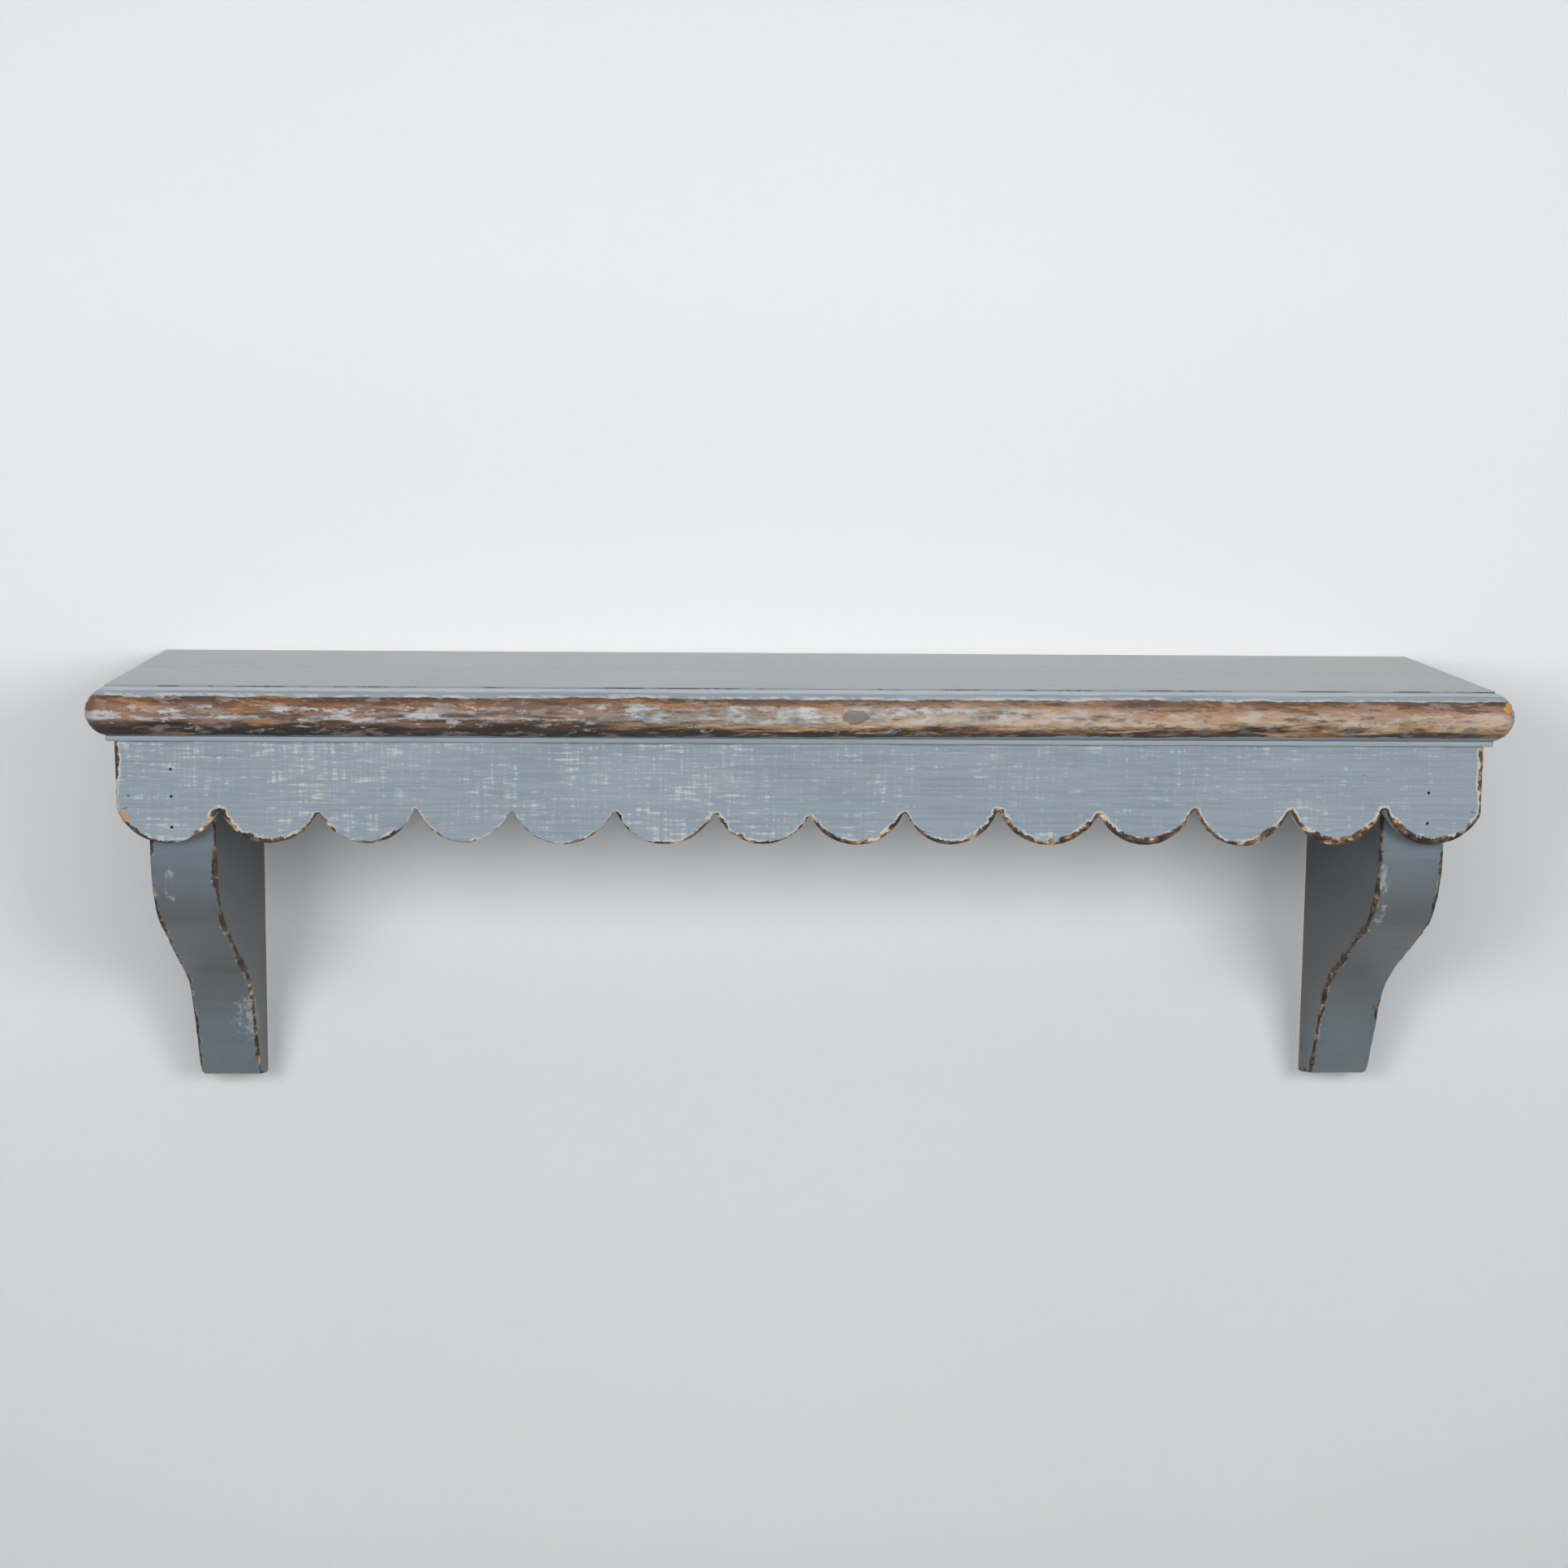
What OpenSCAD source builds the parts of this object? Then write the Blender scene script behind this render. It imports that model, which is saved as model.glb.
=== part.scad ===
// Painted pine wall shelf: a moulded two-plank board, a scalloped apron below its
// front edge and two S-curved brackets with steel keyhole plates let into their backs.
// Origin: midway between the two keyhole entry holes, on the wall plane. The wall is
// the plane y = 0, the shelf stands out towards -Y, +X is to the right and +Z is up.

/* [Board] */
// Overall width of the board, over the rounded nose at each end
board_w = 914; // [860:1:1000]
// Overall depth of the board, from the wall to the front of the nose
board_d = 235; // [225:1:260]
// Thickness of the board
board_t = 36; // [32:0.5:42]
// Width of the rear plank, from the wall to the glue line
rear_plank_d = 115; // [100:1:125]
// How far the rounded nose stands out beyond the board's square edges
nose_proj = 12.5; // [8:0.5:14]
// Square step above the nose
nose_step = 1; // [0.5:0.1:2]
// Square fillet below the nose
nose_fillet = 3.5; // [2:0.5:5]

/* [Apron] */
// Thickness of the apron
apron_t = 17; // [14:0.5:20]
// Height of the apron, from the board to the bottom of a scallop
apron_h = 67; // [60:1:75]
// Height of the solid strip above the scallops
apron_strip = 45; // [40:1:50]
// How far the apron's face lies behind the board's front edge
apron_setback = 5; // [3:0.5:8]
// How far each end of the apron lies inside the board's end
apron_inset = 4; // [2:0.5:10]
// Number of scallops
scallops = 14; // [12:1:16]

/* [Brackets] */
// Thickness of a bracket
bracket_t = 42.5; // [38:0.5:46]
// Clear distance between the two brackets
bracket_gap = 755; // [720:1:790]
// Height of a bracket, down to the front edge of its foot
bracket_h = 265; // [250:1:280]
// Depth of the bracket's foot
foot_d = 34; // [30:1:40]
// Height of the upright front, from the board down to the upper curve
upright_h = 73; // [71:1:76]
// Radius of the upper, outward curve
swell_r = 70; // [62:1:70]
// Radius of the lower, inward curve
hollow_r = 71; // [60:1:80]
// Slope of the middle of the S, below the horizontal
slope_angle = 31; // [28:1:34]
// Slope of the leg, from the horizontal
leg_angle = 64; // [62:1:68]
// Radius of the foot's front corner
toe_r = 4; // [2:0.5:6]
// How steeply the foot's underside falls towards the wall, below the horizontal
foot_slope = 12; // [8:1:15]
// Radius of the foot's rear corner, at the wall
heel_r = 4.5; // [3:0.5:6]

/* [Joinery] */
// Radius of a beech dowel
dowel_r = 4; // [3:0.5:5]
// Length of a dowel, half in the bracket and half in the board
dowel_l = 40; // [30:1:44]
// Distance of the rear dowels from the wall
rear_dowel_d = 60; // [50:1:90]
// Distance of the front dowels from the wall
front_dowel_d = 160; // [135:1:170]
// Side of a glue block behind the apron
block_side = 20; // [15:1:25]
// Length of a glue block
block_l = 60; // [40:1:80]
// Number of glue blocks
block_count = 4; // [2:1:4]
// Distance from one glue block to the next
block_pitch = 190; // [150:5:200]

/* [Panel pins] */
// Radius of a pin's shank
pin_r = 0.75; // [0.6:0.05:0.9]
// Radius of a pin's head
pin_head_r = 1; // [0.9:0.05:1.3]
// Length of a pin
pin_l = 38; // [30:1:45]
// How far a pin's head is punched below the apron's face
pin_punch = 0.5; // [0.2:0.1:1]
// Distance of the pins from the middle of the shelf
pin_x = 405; // [400:1:410]
// Heights of the left pins below the board
left_pin_drops = [18.5, 36, 56]; // [10:0.5:60]
// Heights of the right pins below the board
right_pin_drops = [31, 51]; // [10:0.5:60]

/* [Keyhole plates] */
// Width of a plate
plate_w = 19; // [18:0.5:22]
// Length of a plate over its round ends
plate_l = 51; // [50:0.5:53]
// Thickness of a plate
plate_t = 1.6; // [1.2:0.1:2]
// Radius of the entry hole
entry_r = 4.5; // [4:0.1:5]
// Half the width of the slot
slot_r = 2.2; // [2:0.1:2.6]
// How far the slot's end lies above the entry hole
slot_rise = 11; // [9:0.5:12]
// Distance of each plate screw from the middle of the plate
plate_screw_z = 19.5; // [19:0.5:21]
// Drop of the entry holes below the board's underside
hang_drop = 36; // [34:1:60]
// Depth of the pocket behind a plate
pocket_depth = 10; // [8:0.5:14]
// Radius of the pocket, which clears a wall screw's head
pocket_r = 5.5; // [5.2:0.1:6]

/* [Plate screws] */
// Radius of a screw's shank
screw_r = 1.7; // [1.5:0.1:1.8]
// Radius of a screw's countersunk head
screw_head_r = 3.3; // [3:0.1:3.5]
// Length of a screw
screw_l = 16; // [12:1:20]

/* [Hidden] */
$fn = 96;
spare = 1;            // how far a cutter runs past the face that it opens
fit_gap = 0.05;       // radial room round a pin, a dowel or a screw
recess_gap = 0.2;     // room round a plate in its recess
left = -1;
right = 1;

underside_z = hang_drop;
top_z = underside_z + board_t;
edge_x = board_w / 2 - nose_proj;
edge_y = board_d - nose_proj;

nose_chord = board_t - nose_step - nose_fillet;
nose_r = nose_chord * nose_chord / (8 * nose_proj) + nose_proj / 2;
nose_sink = nose_r - nose_proj;
nose_z = top_z - nose_step - nose_chord / 2;

apron_w = 2 * (edge_x - apron_inset);
apron_face_y = edge_y - apron_setback;
scallop_pitch = apron_w / scallops;
scallop_drop = apron_h - apron_strip;
scallop_r = scallop_pitch * scallop_pitch / (8 * scallop_drop) + scallop_drop / 2;

bracket_x = (bracket_gap + bracket_t) / 2;
bracket_d = apron_face_y - apron_t;
dowel_depths = [rear_dowel_d, front_dowel_d];
foot_z = underside_z - bracket_h;

// The outline of a bracket, as [distance from the wall, height].
function along(angle) = [cos(angle), sin(angle)];
function outward(angle) = [sin(angle), -cos(angle)];
swell = [bracket_d - swell_r, underside_z - upright_h];
swell_end = swell + swell_r * outward(slope_angle);
leg_foot = [foot_d, foot_z];
// Where the sloping line and the leg's line would cross.
slope_run = ((leg_foot - swell_end) * outward(leg_angle)) / (along(slope_angle) * outward(leg_angle));
crossing = swell_end + slope_run * along(slope_angle);
half_turn = (leg_angle - slope_angle) / 2;
hollow = crossing + hollow_r / cos(half_turn) * outward(slope_angle + half_turn);
toe_half = (180 + foot_slope - leg_angle) / 2;
toe = leg_foot + toe_r / sin(toe_half) * along(leg_angle + toe_half);
heel_half = (90 - foot_slope) / 2;
heel = [0, foot_z - foot_d * tan(foot_slope)] + heel_r / sin(heel_half) * along(foot_slope + heel_half);

plate_mid_z = slot_rise / 2;
plate_round_z = (plate_l - plate_w) / 2;
csk_depth = screw_head_r - screw_r;

// Sets a drawing of [distance from the wall, height] upright and gives it a width along X.
module across(width) {
    rotate([90, 0, -90])
        linear_extrude(height = width, center = true)
            children();
}

// Sets a drawing of [x, height] upright and gives it a depth from near to far of the wall.
module outwards(near, far) {
    translate([0, -near, 0])
        rotate([90, 0, 0])
            linear_extrude(height = far - near)
                children();
}

// The moulded board before it is divided into planks: its end-on and front drawings cross,
// so that the nose runs round three edges and turns the corners on a mitre.
module board() {
    intersection() {
        across(board_w + 2 * spare) {
            translate([0, underside_z])
                square([edge_y, board_t]);
            translate([edge_y - nose_sink, nose_z])
                circle(r = nose_r);
        }
        outwards(-spare, board_d + spare) {
            translate([-edge_x, underside_z])
                square([2 * edge_x, board_t]);
            for (side = [left, right])
                translate([side * (edge_x - nose_sink), nose_z])
                    circle(r = nose_r);
        }
    }
}

// The part of the board between two distances from the wall, with its dowel holes.
module plank(near, far, dowel_depth) {
    difference() {
        intersection() {
            board();
            translate([-board_w / 2 - spare, -far, underside_z - spare])
                cube([board_w + 2 * spare, far - near, board_t + 2 * spare]);
        }
        for (side = [left, right])
            dowel_hole(side, dowel_depth);
    }
}

module dowel_hole(side, depth) {
    translate([side * bracket_x, -depth, underside_z])
        cylinder(r = dowel_r + fit_gap, h = dowel_l + spare, center = true);
}

module front_plank() {
    color("#8899a6")
        plank(rear_plank_d, board_d + spare, dowel_depths[1]);
}

module rear_plank() {
    color("#8b9ba6")
        plank(0, rear_plank_d, dowel_depths[0]);
}

module apron_outline() {
    intersection() {
        translate([-apron_w / 2, underside_z - apron_h])
            square([apron_w, apron_h]);
        union() {
            translate([-apron_w / 2, underside_z - apron_strip])
                square([apron_w, apron_strip]);
            for (i = [0 : scallops - 1])
                translate([(i + 0.5) * scallop_pitch - apron_w / 2, underside_z - apron_h + scallop_r])
                    circle(r = scallop_r);
        }
    }
}

module scalloped_apron() {
    color("#8fa2b0")
        difference() {
            outwards(bracket_d, apron_face_y)
                apron_outline();
            pin_holes(left, left_pin_drops);
            pin_holes(right, right_pin_drops);
        }
}

// A bracket before it is drilled, its straight lines running into its curves without a corner.
module bracket_blank() {
    difference() {
        union() {
            across(bracket_t)
                polygon([
                    [0, underside_z],
                    [bracket_d, underside_z],
                    [bracket_d, swell.y],
                    swell,
                    swell_end,
                    hollow - hollow_r * outward(slope_angle),
                    hollow,
                    hollow - hollow_r * outward(leg_angle),
                    toe + toe_r * outward(leg_angle),
                    toe,
                    toe + toe_r * outward(foot_slope),
                    heel + heel_r * outward(foot_slope),
                    heel,
                    [0, heel.y]
                ]);
            across(bracket_t)
                translate(swell)
                    circle(r = swell_r);
            across(bracket_t)
                translate(toe)
                    circle(r = toe_r);
            across(bracket_t)
                translate(heel)
                    circle(r = heel_r);
        }
        across(bracket_t + 2 * spare)
            translate(hollow)
                circle(r = hollow_r);
    }
}

// An upright slab with round ends, centred on the two given heights, near to far of the wall.
module round_ended(radius, low, high, near, far) {
    for (height = [low, high])
        translate([0, -near, height])
            rotate([90, 0, 0])
                cylinder(r = radius, h = far - near);
    translate([-radius, -far, low])
        cube([2 * radius, far - near, high - low]);
}

// A keyhole plate's own shape, grown by room all round.
module plate_blank(room, near, far) {
    round_ended(plate_w / 2 + room, plate_mid_z - plate_round_z, plate_mid_z + plate_round_z, near, far);
}

module bracket(side, pin_drops) {
    color("#75868f")
        difference() {
            translate([side * bracket_x, 0, 0])
                bracket_blank();
            for (depth = dowel_depths)
                dowel_hole(side, depth);
            pin_holes(side, pin_drops);
            translate([side * bracket_x, 0, 0]) {
                plate_blank(recess_gap, -spare, plate_t);
                round_ended(pocket_r, 0, slot_rise, 0, plate_t + pocket_depth);
                at_plate_screws()
                    cylinder(r = screw_r + fit_gap, h = screw_l + spare);
            }
        }
}

module bracket_left() {
    bracket(left, left_pin_drops);
}

module bracket_right() {
    bracket(right, right_pin_drops);
}

module dowels(side) {
    chamfer = 1;
    color("#d9bd8c")
        for (depth = dowel_depths)
            translate([side * bracket_x, -depth, underside_z]) {
                cylinder(r = dowel_r, h = dowel_l - 2 * chamfer, center = true);
                for (end = [0, 1])
                    mirror([0, 0, end])
                        translate([0, 0, dowel_l / 2 - chamfer])
                            cylinder(r1 = dowel_r, r2 = dowel_r - chamfer, h = chamfer);
            }
}

module dowels_left() {
    dowels(left);
}

module dowels_right() {
    dowels(right);
}

// Softwood blocks rubbed into the corner between the apron and the board.
module glue_blocks() {
    tip = 4;
    color("#c9a26b")
        for (i = [0 : block_count - 1])
            translate([(i - (block_count - 1) / 2) * block_pitch, -bracket_d, underside_z])
                rotate([90, 0, 90])
                    linear_extrude(height = block_l, center = true)
                        polygon([
                            [0, 0],
                            [block_side, 0],
                            [block_side, -tip],
                            [tip, -block_side],
                            [0, -block_side]
                        ]);
}

// Places its children on each pin's axis, with +Z running into the apron from its face.
module at_pins(side, drops) {
    for (drop = drops)
        translate([side * pin_x, -apron_face_y, underside_z - drop])
            rotate([-90, 0, 0])
                children();
}

module pin_holes(side, drops) {
    head_depth = pin_punch + pin_head_r;
    at_pins(side, drops) {
        translate([0, 0, -spare])
            cylinder(r = pin_head_r + fit_gap, h = spare + head_depth);
        cylinder(r = pin_r + fit_gap, h = pin_punch + pin_l + spare);
    }
}

module pins(side, drops) {
    color("#4d4f50")
        at_pins(side, drops)
            translate([0, 0, pin_punch]) {
                cylinder(r = pin_head_r, h = pin_head_r);
                cylinder(r = pin_r, h = pin_l - 3 * pin_r);
                translate([0, 0, pin_l - 3 * pin_r])
                    cylinder(r1 = pin_r, r2 = pin_r / 4, h = 3 * pin_r);
            }
}

module pins_left() {
    pins(left, left_pin_drops);
}

module pins_right() {
    pins(right, right_pin_drops);
}

// Places its children on each plate screw's axis, with +Z running into the bracket.
module at_plate_screws() {
    for (end = [-1, 1])
        translate([0, 0, plate_mid_z + end * plate_screw_z])
            rotate([90, 0, 0])
                children();
}

module keyhole_plate(side) {
    color("#b9b6ae")
        translate([side * bracket_x, 0, 0])
            difference() {
                plate_blank(0, 0, plate_t);
                round_ended(slot_r, 0, slot_rise, -spare, plate_t + spare);
                translate([0, spare, 0])
                    rotate([90, 0, 0])
                        cylinder(r = entry_r, h = plate_t + 2 * spare);
                at_plate_screws() {
                    cylinder(r = screw_r + 2 * fit_gap, h = plate_t + spare);
                    cylinder(r1 = screw_head_r + fit_gap, r2 = screw_r + fit_gap, h = csk_depth);
                }
            }
}

module keyhole_plate_left() {
    keyhole_plate(left);
}

module keyhole_plate_right() {
    keyhole_plate(right);
}

module plate_screws(side) {
    drive_w = 0.8;
    drive_l = 3.6;
    drive_depth = 1;
    color("#a6a294")
        translate([side * bracket_x, 0, 0])
            at_plate_screws()
                difference() {
                    union() {
                        cylinder(r1 = screw_head_r, r2 = screw_r, h = csk_depth);
                        cylinder(r = screw_r, h = screw_l - 2 * screw_r);
                        translate([0, 0, screw_l - 2 * screw_r])
                            cylinder(r1 = screw_r, r2 = screw_r / 5, h = 2 * screw_r);
                    }
                    for (turn = [0, 90])
                        rotate([0, 0, turn])
                            cube([drive_w, drive_l, 2 * drive_depth], center = true);
                }
}

module plate_screws_left() {
    plate_screws(left);
}

module plate_screws_right() {
    plate_screws(right);
}

front_plank();
rear_plank();
scalloped_apron();
bracket_left();
bracket_right();
dowels_left();
dowels_right();
glue_blocks();
pins_left();
pins_right();
keyhole_plate_left();
keyhole_plate_right();
plate_screws_left();
plate_screws_right();
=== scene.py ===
"""Painted pine wall shelf: moulded board, scalloped apron and two S-curved brackets."""
import math

import bmesh
import bpy
import numpy as np
from mathutils import Matrix, Vector
from mathutils.geometry import tessellate_polygon


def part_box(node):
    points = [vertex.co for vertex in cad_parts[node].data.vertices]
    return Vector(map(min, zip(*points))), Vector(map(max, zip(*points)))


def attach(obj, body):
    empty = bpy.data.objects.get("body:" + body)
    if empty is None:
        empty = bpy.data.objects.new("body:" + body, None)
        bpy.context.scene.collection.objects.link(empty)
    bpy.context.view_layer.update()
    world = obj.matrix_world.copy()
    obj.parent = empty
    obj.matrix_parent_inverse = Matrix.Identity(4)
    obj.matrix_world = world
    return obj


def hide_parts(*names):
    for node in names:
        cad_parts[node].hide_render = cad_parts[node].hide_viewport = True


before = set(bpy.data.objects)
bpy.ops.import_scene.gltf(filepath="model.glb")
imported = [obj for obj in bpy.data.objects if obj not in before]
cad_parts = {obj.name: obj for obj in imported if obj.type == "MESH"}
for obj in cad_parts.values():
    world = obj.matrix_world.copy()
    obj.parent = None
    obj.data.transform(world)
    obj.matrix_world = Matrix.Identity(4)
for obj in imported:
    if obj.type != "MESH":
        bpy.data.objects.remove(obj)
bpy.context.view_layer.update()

# Lengths below are in millimetres; points are turned into metres when a mesh is made.
MM = 0.001
LEFT, RIGHT = -1, 1


def corners_of(node):
    """A CAD node's lowest and highest corners in millimetres."""
    return [np.array(corner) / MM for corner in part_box(node)]


PLANK_LOW, PLANK_HIGH = corners_of("front_plank")
APRON_LOW, APRON_HIGH = corners_of("scalloped_apron")
BRACKET_LOW, BRACKET_HIGH = corners_of("bracket_right")
PLATE_LOW, PLATE_HIGH = corners_of("keyhole_plate_right")

# The nose runs round three edges of the board, below a step and above a fillet. Its lean is
# how far its surface tips over at its top and bottom.
NOSE_PROJ = 12.5
NOSE_STEP = 1.0
NOSE_FILLET = 3.5
NOSE_LEAN = math.radians(76.9)
NOSE_DENT = 1.3
TOP_Z = PLANK_HIGH[2]
UNDER_Z = PLANK_LOW[2]
EDGE_X = PLANK_HIGH[0] - NOSE_PROJ
EDGE_Y = -PLANK_LOW[1] - NOSE_PROJ
GLUE_Y = -PLANK_HIGH[1]
GLUE_EASED = 0.35

# Points along a plank's outline: each end of the front plank, half its front, each rear end.
SIDE_STEPS = 104
HALF_STEPS = 440
REAR_STEPS = 110

# The S curve of a bracket.
UPRIGHT_H = 73.0
SWELL_R = 70.0
HOLLOW_R = 71.0
SLOPE_ANGLE = math.radians(31)
LEG_ANGLE = math.radians(64)
FRONT_H = 265.0
FOOT_D = 34.0
FOOT_SLOPE = math.radians(12)
TOE_R = 4.0
HEEL_R = 4.5

# Behind each keyhole plate a bracket has a recess, and a pocket for the wall screw's head.
PLATE_ROOM = 0.2
POCKET_R = 5.5
POCKET_LOW, POCKET_HIGH = 0, 11
POCKET_D = 11.6

# Faces that meet at more than this many degrees have a crease between them.
SAWN_CREASE = 38
NOSE_CREASE = 50

# How far from an arris its wear is looked for, and the mark of a place with none.
WEAR_REACH = 5.5
UNWORN = 4


# ---- shapes


def ripple(u, v, seed):
    """Smooth noise from 0 to 1 over two coordinates, with one random cell per unit."""
    cells = np.random.default_rng(seed).random((97, 89))
    u, v = np.broadcast_arrays(np.asarray(u, float), np.asarray(v, float))
    column, row = np.floor(u).astype(int), np.floor(v).astype(int)
    across, along = u - column, v - row
    across = across * across * (3 - 2 * across)
    along = along * along * (3 - 2 * along)

    def cell(i, j):
        return cells[(column + i) % 97, (row + j) % 89]

    low = cell(0, 0) * (1 - across) + cell(1, 0) * across
    high = cell(0, 1) * (1 - across) + cell(1, 1) * across
    return low * (1 - along) + high * along


def smooth(mesh, crease=SAWN_CREASE):
    """Smooth shading, with creases at the sharp edges."""
    mesh.shade_smooth()
    mesh.set_sharp_from_angle(angle=math.radians(crease))


def skin(name, rings, crease=SAWN_CREASE, fanned=False):
    """A closed piece from rings of points: quads between them and a flat cap on each end.

    A fanned cap meets in one middle point, which suits an outline with no hollows."""
    rings = np.asarray(rings)
    ring_count, size = rings.shape[:2]
    here = np.arange(size)
    after = (here + 1) % size
    quads = []
    for ring in range(ring_count - 1):
        low, high = ring * size, (ring + 1) * size
        quads.append(np.stack([low + here, low + after, high + after, high + here], axis=1))
    faces = np.concatenate(quads).tolist()
    points = rings.reshape(-1, 3)
    for first in (0, (ring_count - 1) * size):
        cap = rings[first // size]
        if fanned:
            hub = len(points)
            points = np.concatenate([points, [(cap.min(axis=0) + cap.max(axis=0)) / 2]])
            faces += [[first + i, first + (i + 1) % size, hub] for i in range(size)]
        else:
            for triangle in tessellate_polygon([[Vector(point) for point in cap]]):
                faces.append([first + corner for corner in triangle])
    mesh = bpy.data.meshes.new(name)
    mesh.from_pydata((points * MM).tolist(), [], faces)
    shell = bmesh.new()
    shell.from_mesh(mesh)
    bmesh.ops.recalc_face_normals(shell, faces=shell.faces)
    shell.to_mesh(mesh)
    shell.free()
    smooth(mesh, crease)
    piece = bpy.data.objects.new(name, mesh)
    bpy.context.scene.collection.objects.link(piece)
    return piece


def mark(piece, name, values):
    """Stores a number on each vertex for the material to read."""
    layer = piece.data.attributes.new(name, "FLOAT", "POINT")
    layer.data.foreach_set("value", np.asarray(values, dtype=np.float32).ravel())


def points_of(piece):
    """A piece's vertices in millimetres."""
    flat = np.empty(len(piece.data.vertices) * 3)
    piece.data.vertices.foreach_get("co", flat)
    return flat.reshape(-1, 3) / MM


def cut(piece, rings):
    """Takes a closed shape away from a piece and keeps the result as its mesh."""
    cutter = skin("cutter", rings)
    tool = piece.modifiers.new("cut", "BOOLEAN")
    tool.operation = "DIFFERENCE"
    tool.solver = "MANIFOLD"
    tool.object = cutter
    graph = bpy.context.evaluated_depsgraph_get()
    result = bpy.data.meshes.new_from_object(piece.evaluated_get(graph))
    piece.modifiers.clear()
    old, old_cutter = piece.data, cutter.data
    piece.data = result
    bpy.data.objects.remove(cutter)
    bpy.data.meshes.remove(old)
    bpy.data.meshes.remove(old_cutter)
    result.name = piece.name


def nose_rows():
    """The board's moulded edge from its top face to its underside.

    Each row is (distance out from the square edge, height, turn), where turn runs from 1 at
    the top of the nose to -1 at its bottom and goes further out on the flat faces."""
    chord = TOP_Z - UNDER_Z - NOSE_STEP - NOSE_FILLET
    radius = chord * chord / (8 * NOSE_PROJ) + NOSE_PROJ / 2
    sink = radius - NOSE_PROJ
    middle = TOP_Z - NOSE_STEP - chord / 2
    limit = math.asin(chord / 2 / radius)
    step_z, fillet_z = TOP_Z - NOSE_STEP, UNDER_Z + NOSE_FILLET
    rows = [(-7.0, TOP_Z, 1.3), (-0.8, TOP_Z, 1.22), (-0.3, TOP_Z - 0.1, 1.18)]
    rows += [(-0.05, TOP_Z - 0.4, 1.12), (-0.2, step_z - 0.05, 1.05)]
    for step in range(41):
        angle = limit * (1 - step / 20)
        out = radius * math.cos(angle) - sink
        rows.append((out, middle + radius * math.sin(angle), angle / limit))
    rows += [(-0.2, fillet_z - 0.1, -1.05), (0.0, fillet_z - 0.6, -1.1)]
    rows += [(0.0, UNDER_Z + 0.4, -1.18), (-0.5, UNDER_Z, -1.22), (-7.0, UNDER_Z, -1.3)]
    return rows


def straight(start, end, steps):
    """Points from start towards end, without the end itself."""
    share = np.arange(steps)[:, None] / steps
    return np.asarray(start) * (1 - share) + np.asarray(end) * share


def lengths_along(path):
    """How far along a path each of its points is."""
    return np.cumsum(np.linalg.norm(np.diff(path, axis=0, prepend=path[:1]), axis=1))


def front_plan(out):
    """The front plank's outline in plan, out from its square edges.

    Also which way is out at each point, and how far round the corner it is: 0 along the
    front and 1 along the ends."""
    turn_r = max(1 + 0.8 * out, 0.5)
    x, y = EDGE_X + out, -EDGE_Y - out
    quarter = np.radians(np.linspace(180, 270, 15))[:-1]
    corner = np.stack([np.cos(quarter), np.sin(quarter)], axis=1)
    side = straight((-x, -GLUE_Y), (-x, y + turn_r), SIDE_STEPS)
    arc = corner * turn_r + (turn_r - x, y + turn_r)
    half = straight((turn_r - x, y), (0, y), HALF_STEPS)
    path = np.concatenate([side, arc, half])
    leftward = np.tile((-1.0, 0.0), (SIDE_STEPS, 1))
    forward = np.tile((0.0, -1.0), (HALF_STEPS, 1))
    outward = np.concatenate([leftward, corner, forward])
    fall = np.linspace(1, 0, len(corner))
    rounding = np.concatenate([np.ones(SIDE_STEPS), fall, np.zeros(HALF_STEPS)])
    path = np.concatenate([path, [(0.0, y)], path[::-1] * (-1, 1)])
    outward = np.concatenate([outward, [(0.0, -1.0)], outward[::-1] * (-1, 1)])
    return path, outward, np.concatenate([rounding, [0.0], rounding[::-1]])


def rear_plan(out):
    """The same for the rear plank's two moulded ends."""
    x = EDGE_X + out
    side = np.concatenate([straight((-x, 0), (-x, -GLUE_Y), REAR_STEPS), [(-x, -GLUE_Y)]])
    outward = np.tile((-1.0, 0.0), (len(side), 1))
    path = np.concatenate([side, side[::-1] * (-1, 1)])
    return path, np.concatenate([outward, outward[::-1] * (-1, 1)]), np.ones(len(path))


def plank(name, plan, seed):
    """A plank of the moulded board, its nose rubbed and dented by use."""
    rows = nose_rows()
    rings, turns = [], []
    for index, (out, height, turn) in enumerate(rows):
        path, outward, rounding = plan(out)
        along = lengths_along(path)
        lean = NOSE_LEAN * max(-1.0, min(1.0, turn))
        bare = np.clip((1.02 - abs(turn)) * 6, 0, 1)
        streaks = ripple(along / 21, index / 1.3, seed) * 0.35
        dents = np.clip(ripple(along / 5, index / 2.2, seed + 1) - 0.72, 0, 1) * 2.2
        waves = ripple(along / 70, index / 9, seed + 2) * 0.35
        dig = np.minimum((streaks + dents + waves) * bare + 0.05, NOSE_DENT)
        on_flat = abs(turn) > 1.2
        if on_flat:
            dig = dig * 0
        plane = path - outward * (dig * math.cos(lean))[:, None]
        # The two planks' glued edges are eased where they meet the flat faces.
        glued = np.abs(path[:, 1] + GLUE_Y) < 0.01
        eased = GLUE_EASED if on_flat else 0.0
        away = -eased if plan is front_plan else eased
        plane[:, 1] = np.where(glued, path[:, 1] + away, plane[:, 1])
        z = height - dig * math.sin(lean) * (abs(turn) <= 1)
        rings.append(np.column_stack([plane, z]))
        turns.append(np.full(len(path), turn))
    piece = skin(name, rings, NOSE_CREASE, fanned=True)
    mark(piece, "turn", np.concatenate(turns + [[rows[0][2], rows[-1][2]]]))
    mark(piece, "rounding", np.concatenate([np.tile(rounding, len(rows)), [0.5, 0.5]]))
    return piece


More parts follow.
